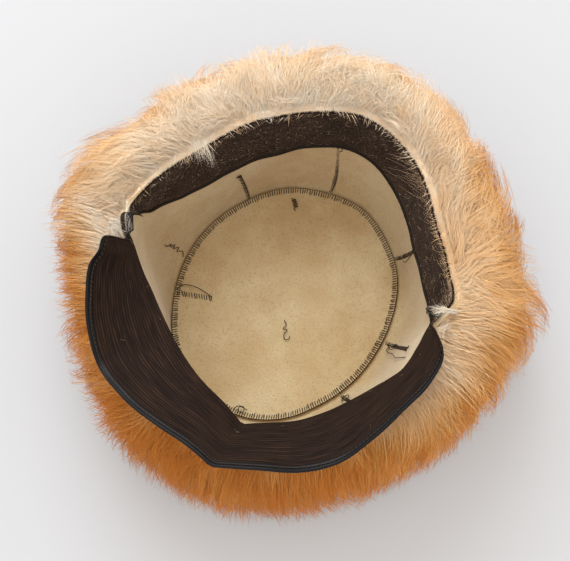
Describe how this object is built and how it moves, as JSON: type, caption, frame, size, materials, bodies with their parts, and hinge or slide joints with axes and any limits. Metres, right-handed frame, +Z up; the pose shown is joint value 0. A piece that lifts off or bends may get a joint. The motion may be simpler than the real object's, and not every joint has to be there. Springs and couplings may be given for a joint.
{
  "type": "shearling hat",
  "caption": "Round long-haired shearling hat lying on its crown, unlined hide inside, ribbed sweatband half tucked in and half turned out.",
  "frame": {"origin": "centre of the whole hat's footprint, on the surface that it lies on", "axes": "+Z up through the head opening, +Y towards the half of the rim where the band is tucked inside, +X to the right of it"},
  "size_m": [0.2944, 0.2846, 0.1695],
  "materials": {
    "hide": "tanned flesh side, matt, fine pores and stains",
    "pile": "long soft wool locks, cream at the root and rust at the tip",
    "band": "dark brown ribbed band, slight sheen, napped on the back",
    "piping": "black glazed piping, stitched"
  },
  "bodies": {
    "root": {"top_panel": "hide", "side_wall": "hide", "top_fur": "pile", "side_fur": "pile", "sweatband": "band", "band_piping": "piping"}
  },
  "joints": []
}
